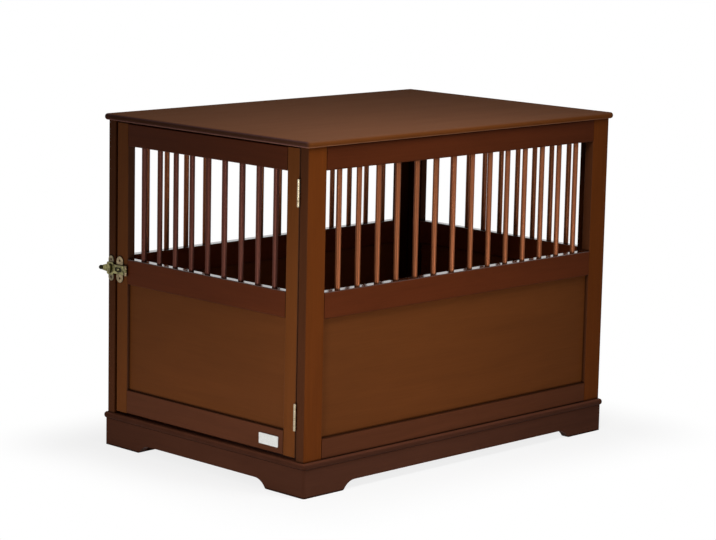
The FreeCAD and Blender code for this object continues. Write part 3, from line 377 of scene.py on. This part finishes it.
# Hasp: a plate on the door, a strap that swings on its pin, and a plate with a turn knob on the post.
# Cast and stamped brass with an antique finish, dark in the hollows and rubbed bright on the high spots.
# The strap's dish stayed dark round its middle, and the ball of its finger lip is blackened.
HASP_BRASS, HASP_PATINA = (162, 144, 112), (84, 72, 50)
STAPLE_BRASS, STAPLE_PATINA = (134, 122, 96), (80, 72, 54)
STRAP_BRASS, STRAP_PATINA = (146, 140, 96), (66, 60, 38)
LATCH_ROUGHNESS, STRAP_ROUGHNESS = 0.28, 0.25
LATCH_DULLNESS, LATCH_REACH = 0.35, 0.004
BALL_RADIUS = 0.0043
BALL_FADE = 1.1
DISH_EDGE, DISH_DEPTH = 0.0003, 0.0007
BALL_TONE, DISH_TONE = 0.10, 0.16
strap_low, strap_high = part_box("hasp_strap")
ball_centre = (strap_low.x + BALL_RADIUS, strap_low.y + BALL_RADIUS, (strap_low.z + strap_high.z) / 2)
strap_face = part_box("hasp_plate")[0].y


def strap_patina(tree, place):
    """Dark within the ball's radius of its centre, and on faces to the front that lie behind the strap's
    face."""
    away = add_node(tree, "ShaderNodeVectorMath", {0: place, 1: ball_centre}, operation="DISTANCE")
    ball = spread(tree, away.outputs["Value"], BALL_TONE, 1.0, BALL_RADIUS, BALL_FADE * BALL_RADIUS)
    depth = add_node(tree, "ShaderNodeSeparateXYZ", {"Vector": place}).outputs["Y"]
    sunk = spread(tree, depth, 0.0, 1.0, strap_face + DISH_EDGE, strap_face + DISH_DEPTH)
    dish = add_node(tree, "ShaderNodeMath", {0: sunk, 1: looking(tree, (0, -1, 0))}, operation="MULTIPLY")
    dish = spread(tree, dish.outputs[0], 1.0, DISH_TONE)
    return add_node(tree, "ShaderNodeMath", {0: ball, 1: dish}, operation="MULTIPLY").outputs[0]


hasp_brass = brushed_metal("plate_brass", HASP_BRASS, HASP_PATINA, LATCH_ROUGHNESS, LATCH_DULLNESS,
                           LATCH_REACH)
staple_brass = brushed_metal("staple_brass", STAPLE_BRASS, STAPLE_PATINA, LATCH_ROUGHNESS, LATCH_DULLNESS,
                             LATCH_REACH)
knob_brass = brushed_metal("knob_brass", STRAP_BRASS, STRAP_PATINA, LATCH_ROUGHNESS, LATCH_DULLNESS,
                           LATCH_REACH)
strap_brass = brushed_metal("strap_brass", STRAP_BRASS, STRAP_PATINA, STRAP_ROUGHNESS, LATCH_DULLNESS,
                            LATCH_REACH, strap_patina)
dress(hasp_brass, "hasp_plate", "hasp_pin")
dress(staple_brass, "staple_plate")
dress(knob_brass, "turn_knob")
dress(strap_brass, "hasp_strap")

# Wood screws: countersunk heads with a cross recess, two in each leaf and plate, and eight larger ones
# driven up through the base board. Brass bronzed nearly black, and zinc-plated steel underneath.
SCREW_BRASS, SCREW_BRONZING = (84, 68, 48), (46, 36, 26)
BRASS_ROUGHNESS, BRASS_REACH = 0.25, 0.0015
SCREW_STEEL, STEEL_TARNISH = (150, 150, 152), (96, 96, 98)
STEEL_ROUGHNESS, STEEL_REACH = 0.3, 0.0025
SCREW_DULLNESS = 0.3
SMALL_HEAD, SMALL_SHANK = 0.0025, 0.0013
BASE_HEAD, BASE_SHANK = 0.0044, 0.0022
SLOT_SHARE, REACH_SHARE, SUNK_SHARE, WALL_SHARE = 0.16, 0.72, 0.55, 0.6
RIM_SHARE, NECK_SHARE, THREAD_SHARE = 0.1, 1.1, 1.3
PITCH_SHARE, ROOT_SHARE = 0.9, 0.74
TAPER_SHARE, TIP_SHARE, TIP_WIDTH_SHARE = 2.0, 0.6, 0.5
FACE_START_SHARE = 0.06
FACE_STEPS, THREAD_STEPS, ROUND_STEPS = 17, 4, 48


def skin(rings, first_pole, last_pole):
    """Points, quads and fans of a closed skin: rings of points joined row to row, drawn to a pole at each
    end."""
    rows, columns = rings.shape[:2]
    number = np.arange(rows * columns).reshape(rows, columns)
    beside = np.roll(number, -1, axis=1)
    quads = np.stack([number[:-1], beside[:-1], beside[1:], number[1:]], axis=-1).reshape(-1, 4)
    first = np.full(columns, rows * columns)
    fans = np.concatenate([np.stack([first, beside[0], number[0]], axis=-1),
                           np.stack([number[-1], beside[-1], first + 1], axis=-1)])
    points = np.concatenate([rings.reshape(-1, 3), [first_pole, last_pole]])
    return points, quads, fans


def wood_screw(head, shank, length):
    """One screw, driven along the third axis from its face at 0: a profile of radius and depth turned round.
    The face sinks into a cross where the nearer of x and y is within half a slot and the farther within
    reach, the head is a cone, and the shank's radius is a saw wave of depth in pitches less the turn's
    share."""
    turn = np.linspace(0, 2 * math.pi, ROUND_STEPS, endpoint=False)
    slot, reach, sunk = SLOT_SHARE * head, REACH_SHARE * head, SUNK_SHARE * head
    pitch, root, cone = PITCH_SHARE * shank, ROOT_SHARE * shank, head - shank
    start, end, tip = THREAD_SHARE * cone, length - TAPER_SHARE * shank, length - TIP_SHARE * shank
    face = np.linspace(FACE_START_SHARE, 1.0, FACE_STEPS) * head
    thread = np.arange(start, end, pitch / THREAD_STEPS)
    radius = np.concatenate([face, [head, shank], np.full(len(thread), shank), [TIP_WIDTH_SHARE * root]])
    depth = np.concatenate([0 * face, [RIM_SHARE * cone, NECK_SHARE * cone], thread, [tip]])
    radius, depth, turn = np.broadcast_arrays(radius[:, None], depth[:, None], turn[None, :])
    across, along = np.abs(radius * np.cos(turn)), np.abs(radius * np.sin(turn))
    outside = np.maximum(np.minimum(across, along) - slot, np.maximum(across, along) - reach)
    on_face = np.arange(len(radius))[:, None] < len(face)
    recess = np.where(on_face, sunk * np.clip(-outside / (WALL_SHARE * slot), 0, 1), 0)
    wave = np.abs((depth / pitch - turn / (2 * math.pi)) % 1 - 0.5) * 2
    on_thread = (depth >= start) & (depth < end)
    radius = np.where(on_thread, root + (shank - root) * wave, radius)
    rings = np.stack([radius * np.cos(turn), radius * np.sin(turn), depth + recess], axis=-1)
    return skin(rings, (0, 0, sunk), (0, 0, length))


def add_piece(name, parts, material, body):
    """One object from parts of points, quads and fans, numbered on from part to part. It stands at the
    origin, in a material, and rides on a body."""
    starts = np.cumsum([0, *(len(points) for points, _, _ in parts)])
    faces = []
    for start, (_, quads, fans) in zip(starts, parts):
        faces += (quads + start).tolist() + (fans + start).tolist()
    mesh = bpy.data.meshes.new(name)
    mesh.from_pydata(np.concatenate([points for points, _, _ in parts]), [], faces)
    mesh.materials.append(material)
    piece = bpy.data.objects.new(name, mesh)
    bpy.context.scene.collection.objects.link(piece)
    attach(piece, body)
    return piece


def driven(shape, at, axes):
    """A screw or plate whose points are set at a place, on three axes of the crate, the last the way that it
    is driven."""
    points, quads, fans = shape
    return np.array(at) + points @ np.array(axes, float), quads, fans


DRIVEN_BACK = ((0, 0, 1), (1, 0, 0), (0, 1, 0))
DRIVEN_RIGHT = ((0, 1, 0), (0, 0, 1), (1, 0, 0))
DRIVEN_LEFT = ((0, 0, 1), (0, 1, 0), (-1, 0, 0))
DRIVEN_UP = ((1, 0, 0), (0, 1, 0), (0, 0, 1))
SMALL_SCREWS = {"hasp_screws": ("door", DRIVEN_BACK), "staple_screws": ("crate", DRIVEN_BACK)}
for height in ("upper", "lower"):
    SMALL_SCREWS[f"{height}_hinge_post_screws"] = ("crate", DRIVEN_RIGHT)
    SMALL_SCREWS[f"{height}_hinge_door_screws"] = ("door", DRIVEN_LEFT)
screw_brass = brushed_metal("screw_brass", SCREW_BRASS, SCREW_BRONZING, BRASS_ROUGHNESS, SCREW_DULLNESS,
                            BRASS_REACH)
for node, (body, axes) in SMALL_SCREWS.items():
    low, high = (np.array(corner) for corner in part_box(node))
    way = np.array(axes[2])
    head = np.where(way > 0, low, np.where(way < 0, high, (low + high) / 2))
    screw = wood_screw(SMALL_HEAD, SMALL_SHANK, float(np.abs(way) @ (high - low)))
    pair = [driven(screw, (*head[:2], z), axes) for z in (low[2] + SMALL_HEAD, high[2] - SMALL_HEAD)]
    piece = add_piece(node.replace("screws", "wood_screws"), pair, screw_brass, body)
    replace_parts(piece, node)

BACK_SCREW_PLACE = 0.086
low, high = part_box("base_screws")
side, end = high.x - BASE_HEAD, -low.y - BASE_HEAD
places = [(x, y) for x in (-side, side) for y in (-end, 0, end)]
places += [(x, high.y - BASE_HEAD) for x in (-BACK_SCREW_PLACE, BACK_SCREW_PLACE)]
screw = wood_screw(BASE_HEAD, BASE_SHANK, high.z - low.z)
screw_steel = brushed_metal("screw_steel", SCREW_STEEL, STEEL_TARNISH, STEEL_ROUGHNESS, SCREW_DULLNESS,
                            STEEL_REACH)
underneath = [driven(screw, (*place, low.z), DRIVEN_UP) for place in places]
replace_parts(add_piece("base_wood_screws", underneath, screw_steel, "crate"), "base_screws")

# Blank plate: a thin white plate stuck on the door's bottom rail, towards the hinges.
# Stamped aluminium with round corners and eased edges, in a satin white lacquer.
PLATE_CENTRE = (0.1785, 0.091)
PLATE_SIZE = (0.050, 0.020)
PLATE_THICKNESS, PLATE_CORNER, PLATE_EASE = 0.0012, 0.0015, 0.0005
PLATE_AXES = ((1, 0, 0), (0, 0, -1), (0, 1, 0))
EASE_STEPS = 5
PLATE_SHADE, PLATE_WHITE = (222, 222, 216), (240, 240, 236)
GRIT = {"scale": 900.0, "detail": 3.0}
GRIT_LOW, GRIT_HIGH = 0.35, 0.65
GRIT_RELIEF, GRIT_DEPTH = 0.1, 0.00005
PLATE_SMOOTH, PLATE_ROUGH = 0.3, 0.45


def rounded_plate(size, thickness, corner, ease):
    """A plate from its front at minus its thickness to its back at 0: the outline is a circle of the corner
    radius whose quarters are drawn apart to the corners, and the front edge rolls over in a quarter turn."""
    turn = (np.arange(ROUND_STEPS) + 0.5) * 2 * math.pi / ROUND_STEPS
    roll = np.linspace(0, math.pi / 2, EASE_STEPS)
    inset = np.concatenate([ease * (1 - np.sin(roll)), [0]])
    height = np.concatenate([ease * (1 - np.cos(roll)) - thickness, [0]])
    radius = (corner - inset)[:, None]
    across = np.sign(np.cos(turn)) * (size[0] / 2 - corner) + radius * np.cos(turn)
    along = np.sign(np.sin(turn)) * (size[1] / 2 - corner) + radius * np.sin(turn)
    rings = np.stack([across, along, np.broadcast_to(height[:, None], across.shape)], axis=-1)
    return skin(rings, (0, 0, -thickness), (0, 0, 0))


material, tree, shader = finish_material("plate_white")
grit = noise(tree, add_node(tree, "ShaderNodeTexCoord").outputs["Object"], **GRIT)
lacquer = ramp(tree, grit, [(GRIT_LOW, linear(PLATE_SHADE)), (GRIT_HIGH, linear(PLATE_WHITE))])
tree.links.new(lacquer, shader.inputs["Base Color"])
tree.links.new(spread(tree, grit, PLATE_SMOOTH, PLATE_ROUGH), shader.inputs["Roughness"])
bump = add_node(tree, "ShaderNodeBump", {"Height": grit, "Strength": GRIT_RELIEF, "Distance": GRIT_DEPTH})
tree.links.new(bump.outputs["Normal"], shader.inputs["Normal"])
door_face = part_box("door_bottom_rail")[0].y
plate = driven(rounded_plate(PLATE_SIZE, PLATE_THICKNESS, PLATE_CORNER, PLATE_EASE),
               (PLATE_CENTRE[0], door_face, PLATE_CENTRE[1]), PLATE_AXES)
add_piece("blank_plate", [plate], material, "door")

# Studio: a pale floor and a white backdrop, lit by a soft key above the long side, a side fill level with
# the panels that draws the bars' streaks, a low door fill, a strip by the near corner and a fill behind.
# The backdrop is white to the camera and in reflections, and the floor keeps a pale shadow.
SOFT_LIGHT = 0.10
FLOOR_COLOUR = (250, 250, 250)
FLOOR_ROUGHNESS = 0.9
FLOOR_SIZE = 30.0
SHADOW_VEIL = 0.82
FADE_START, FADE_END = 0.01, 0.25
floor_mesh = bpy.data.meshes.new("studio_floor")
corners = np.array([(-1, -1, 0), (1, -1, 0), (1, 1, 0), (-1, 1, 0)]) * FLOOR_SIZE / 2
floor_mesh.from_pydata(corners, [], [(0, 1, 2, 3)])
floor = bpy.data.objects.new("studio_floor", floor_mesh)
bpy.context.scene.collection.objects.link(floor)
material, tree, shader = finish_material("studio_floor")
shader.inputs["Base Color"].default_value = linear(FLOOR_COLOUR)
shader.inputs["Roughness"].default_value = FLOOR_ROUGHNESS
shader.inputs["Specular IOR Level"].default_value = 0.0
place = add_node(tree, "ShaderNodeTexCoord").outputs["Object"]
beyond = add_node(tree, "ShaderNodeVectorMath", {0: place}, operation="ABSOLUTE").outputs[0]
beyond = add_node(tree, "ShaderNodeVectorMath", {0: beyond, 1: (*cad_box[1].xy, 0)},
                  operation="SUBTRACT").outputs[0]
beyond = add_node(tree, "ShaderNodeVectorMath", {0: beyond, 1: (0, 0, 0)}, operation="MAXIMUM").outputs[0]
reach = add_node(tree, "ShaderNodeVectorMath", {0: beyond}, operation="LENGTH").outputs["Value"]
fade = add_node(tree, "ShaderNodeMapRange", {"Value": reach, "From Min": FADE_START, "From Max": FADE_END,
                                             "To Min": SHADOW_VEIL},
                interpolation_type="SMOOTHSTEP").outputs["Result"]


def seen_rays(tree):
    """1 for camera, glossy and transmission rays, and 0 for the rays that light the crate."""
    rays = add_node(tree, "ShaderNodeLightPath")
    total = rays.outputs["Is Camera Ray"]
    for kind in ("Is Glossy Ray", "Is Transmission Ray"):
        total = add_node(tree, "ShaderNodeMath", {0: total, 1: rays.outputs[kind]},
                         operation="ADD", use_clamp=True).outputs[0]
    return total


fade = add_node(tree, "ShaderNodeMath", {0: fade, 1: seen_rays(tree)}, operation="MULTIPLY").outputs[0]
glow = add_node(tree, "ShaderNodeEmission", {"Strength": 1.0}).outputs[0]
surface = add_node(tree, "ShaderNodeMixShader", {0: fade, 1: shader.outputs[0], 2: glow}).outputs[0]
tree.links.new(surface, tree.nodes["Material Output"].inputs["Surface"])
floor_mesh.materials.append(material)

world = bpy.data.worlds.new("studio")
bpy.context.scene.world = world
world.use_nodes = True
tree = world.node_tree
tree.nodes.clear()
soft = add_node(tree, "ShaderNodeBackground", {"Strength": SOFT_LIGHT})
white = add_node(tree, "ShaderNodeBackground", {"Strength": 1.0})
for background in (soft, white):
    background.inputs["Color"].default_value = (1, 1, 1, 1)
both = add_node(tree, "ShaderNodeMixShader", {0: seen_rays(tree), 1: soft.outputs[0], 2: white.outputs[0]})
add_node(tree, "ShaderNodeOutputWorld", {"Surface": both.outputs[0]})


def lamp(name, at, towards, size, power, shines=True):
    """A rectangular area lamp, of a width and a height, that faces a point and, where it shines, also
    shows in gloss."""
    light = bpy.data.lights.new(name, "AREA")
    light.shape = "RECTANGLE"
    light.size, light.size_y = size
    light.energy = power
    thing = bpy.data.objects.new(name, light)
    thing.location = at
    thing.rotation_euler = (Vector(towards) - Vector(at)).to_track_quat("-Z", "Y").to_euler()
    thing.visible_camera = False
    thing.visible_glossy = shines
    bpy.context.scene.collection.objects.link(thing)


lamp("high_key", at=(0.7, -0.25, 1.35), towards=(0.15, -0.1, 0.5), size=(0.5, 0.5), power=9.0)
lamp("side_fill", at=(0.9, -0.12, 0.22), towards=(0.263, -0.12, 0.22), size=(0.3, 0.3), power=1.52)
lamp("door_fill", at=(-0.05, -0.80, 0.06), towards=(-0.03, -0.41, 0.10), size=(0.5, 0.1), power=0.80,
     shines=False)
lamp("corner_strip", at=(0.38, -0.68, 0.37), towards=(0.255, -0.42, 0.37), size=(0.05, 0.5), power=0.72)
lamp("back_fill", at=(-1.8, 1.6, 0.3), towards=(0.0, 0.0, 0.3), size=(1.2, 0.5), power=28.0, shines=False)

# Camera: the photograph's view, from beyond the corner between door and long side, a little above the top.
# Its angles, distance and focal length are fitted to the crate's edges, and it has no shift.
PHOTO_WIDTH = 716
FOCAL_PIXELS = 2515.5
AZIMUTH, PITCH, ROLL = (math.radians(angle) for angle in (44.49, 9.74, 1.23))
DISTANCE = 4.8953
AIM_RIGHT = -0.0061
AIM_HEIGHT = 0.3324
FARTHEST = 100.0
back = Vector((math.sin(AZIMUTH) * math.cos(PITCH), -math.cos(AZIMUTH) * math.cos(PITCH), math.sin(PITCH)))
right = Vector((math.cos(AZIMUTH), math.sin(AZIMUTH), 0))
lens = bpy.data.cameras.new("camera")
lens.lens = FOCAL_PIXELS / PHOTO_WIDTH * lens.sensor_width
lens.clip_end = FARTHEST
camera = bpy.data.objects.new("camera", lens)
stand = Vector((0, 0, AIM_HEIGHT)) + right * AIM_RIGHT + back * DISTANCE
turned = Matrix((right, back.cross(right), back)).transposed() @ Matrix.Rotation(ROLL, 3, "Z")
camera.matrix_world = Matrix.Translation(stand) @ turned.to_4x4()
bpy.context.scene.collection.objects.link(camera)
bpy.context.scene.camera = camera
bpy.context.scene.view_settings.view_transform = "Standard"
